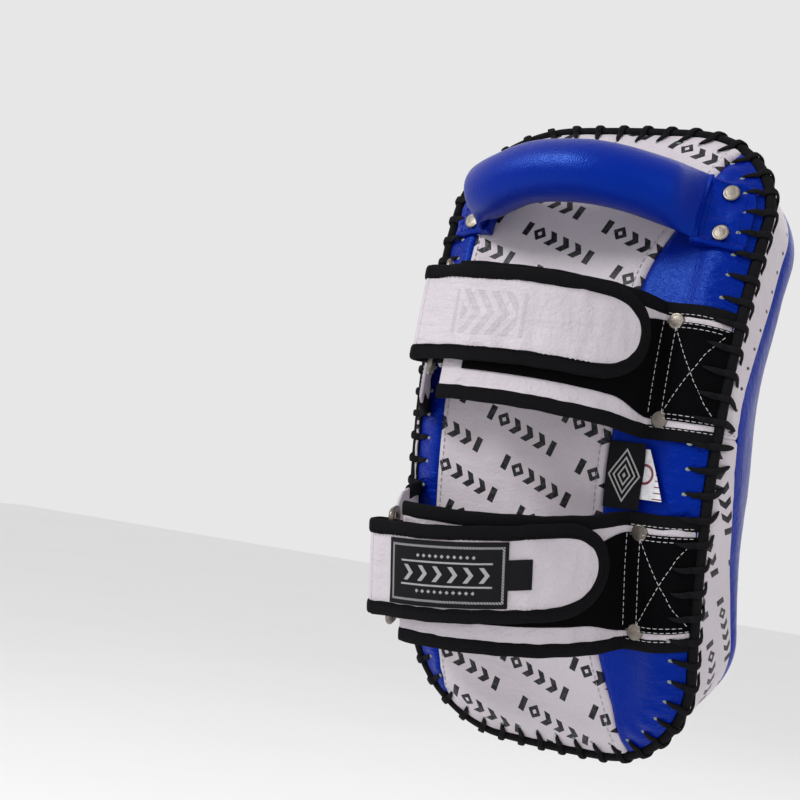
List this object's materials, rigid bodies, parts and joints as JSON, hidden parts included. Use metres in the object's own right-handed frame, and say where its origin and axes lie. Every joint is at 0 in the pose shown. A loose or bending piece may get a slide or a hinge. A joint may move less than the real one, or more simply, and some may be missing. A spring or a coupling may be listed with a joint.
{
  "type": "thai pad",
  "caption": "Curved padded kick pad for the forearm: laced leather shell over layered foam, with hook-and-loop arm straps on steel rings and a padded hand grip",
  "frame": {"origin": "on the back panel, in the middle of the place where the forearm rests", "axes": "+Z along the pad towards the hand grip, -Y out of the strap side towards the forearm, +Y towards the striking face, +X to the right as seen from the strap side"},
  "size_m": [0.2122, 0.1967, 0.3842],
  "materials": {
    "blue_leather": "saturated royal blue grained leather, satin",
    "white_leather": "slightly pinkish white leather, satin",
    "black_tape": "black binding tape and lacing, matt",
    "hook_and_loop": "black hook-and-loop fabric, matt",
    "foam": "dark layered foam, inside the shell",
    "nickel": "nickel-plated steel wire and rivets, slightly dulled",
    "woven_label": null
  },
  "bodies": {
    "pad": {"striking_panel": "blue_leather", "gusset_upper": "white_leather", "gusset_lower": "white_leather", "back_panel_left": "blue_leather", "back_panel_centre": "white_leather", "back_panel_right": "blue_leather", "foam_back": "foam", "foam_middle": "foam", "foam_front": "foam", "edge_cord": "black_tape", "handle_tab_left": "blue_leather", "handle_tab_right": "blue_leather", "handle_rivet_left_top": "nickel", "handle_rivet_left_bottom": "nickel", "handle_rivet_right_top": "nickel", "handle_rivet_right_bottom": "nickel", "upper_anchor_patch": "white_leather", "upper_anchor_binding_top": "black_tape", "upper_anchor_binding_bottom": "black_tape", "upper_anchor_fabric": "hook_and_loop", "upper_anchor_rivet_top": "nickel", "upper_anchor_rivet_bottom": "nickel", "upper_root_patch": "white_leather", "upper_root_binding_top": "black_tape", "upper_root_binding_bottom": "black_tape", "lower_anchor_patch": "white_leather", "lower_anchor_binding_top": "black_tape", "lower_anchor_binding_bottom": "black_tape", "lower_anchor_fabric": "hook_and_loop", "lower_anchor_rivet_top": "nickel", "lower_anchor_rivet_bottom": "nickel", "lower_root_patch": "white_leather", "lower_root_binding_top": "black_tape", "lower_root_binding_bottom": "black_tape"},
    "upper_forearm_band": {"upper_band": "white_leather", "upper_band_binding_top": "black_tape", "upper_band_binding_bottom": "black_tape", "upper_loop_fabric": "hook_and_loop", "upper_strap_tail": "white_leather"},
    "upper_closing_tongue": {"upper_tongue": "white_leather", "upper_tongue_binding": "black_tape", "upper_hook_fabric": "hook_and_loop"},
    "upper_steel_ring": {"upper_ring": "nickel"},
    "upper_root": {"upper_root_strap": "white_leather"},
    "lower_forearm_band": {"lower_band": "white_leather", "lower_band_binding_top": "black_tape", "lower_band_binding_bottom": "black_tape", "lower_loop_fabric": "hook_and_loop", "lower_strap_tail": "white_leather"},
    "lower_closing_tongue": {"lower_tongue": "white_leather", "lower_tongue_binding": "black_tape", "lower_hook_fabric": "hook_and_loop", "woven_label": "woven_label", "size_tab": "woven_label"},
    "lower_steel_ring": {"lower_ring": "nickel"},
    "lower_root": {"lower_root_strap": "white_leather"},
    "handle_grip": {"handle_sleeve": "blue_leather", "handle_filling": "foam"},
    "side_labels": {"side_label": "woven_label", "care_tag": "white_leather"}
  },
  "joints": [
    {"name": "upper_band_fold", "type": "hinge", "parent": "pad", "child": "upper_forearm_band", "pos_m": [0.058, -0.00182, 0.04836], "axis": [0, 0.1021, 0.9948], "range_deg": [0, 60]},
    {"name": "upper_tongue_peel", "type": "hinge", "parent": "upper_forearm_band", "child": "upper_closing_tongue", "pos_m": [-0.06406, -0.05864, 0.0542], "axis": [0, -0.1021, -0.9948], "range_deg": [0, 140]},
    {"name": "upper_ring_swing", "type": "hinge", "parent": "upper_forearm_band", "child": "upper_steel_ring", "pos_m": [-0.051, -0.06001, 0.05434], "axis": [0, -0.1021, -0.9948], "range_deg": [0, 35]},
    {"name": "upper_root_fold", "type": "hinge", "parent": "pad", "child": "upper_root", "pos_m": [-0.084, -0.00182, 0.04836], "axis": [0, -0.1021, -0.9948], "range_deg": [0, 60]},
    {"name": "lower_band_fold", "type": "hinge", "parent": "pad", "child": "lower_forearm_band", "pos_m": [0.0535, 0.0026, -0.07845], "axis": [0, -0.1941, 0.981], "range_deg": [0, 60]},
    {"name": "lower_tongue_peel", "type": "hinge", "parent": "lower_forearm_band", "child": "lower_closing_tongue", "pos_m": [-0.07104, -0.06299, -0.09143], "axis": [0, 0.1941, -0.981], "range_deg": [0, 140]},
    {"name": "lower_ring_swing", "type": "hinge", "parent": "lower_forearm_band", "child": "lower_steel_ring", "pos_m": [-0.058, -0.0646, -0.09175], "axis": [0, 0.1941, -0.981], "range_deg": [0, 35]},
    {"name": "lower_root_fold", "type": "hinge", "parent": "pad", "child": "lower_root", "pos_m": [-0.084, 0.0026, -0.07845], "axis": [0, 0.1941, -0.981], "range_deg": [0, 60]},
    {"name": "handle_tilt", "type": "hinge", "parent": "pad", "child": "handle_grip", "pos_m": [0, 0.01499, 0.13689], "axis": [1, 0, 0], "range_deg": [-12, 12]},
    {"name": "label_lift", "type": "hinge", "parent": "pad", "child": "side_labels", "pos_m": [0.03729, -0.00035, -0.02194], "axis": [0, 0.0511, -0.9987], "range_deg": [0, 60]}
  ]
}
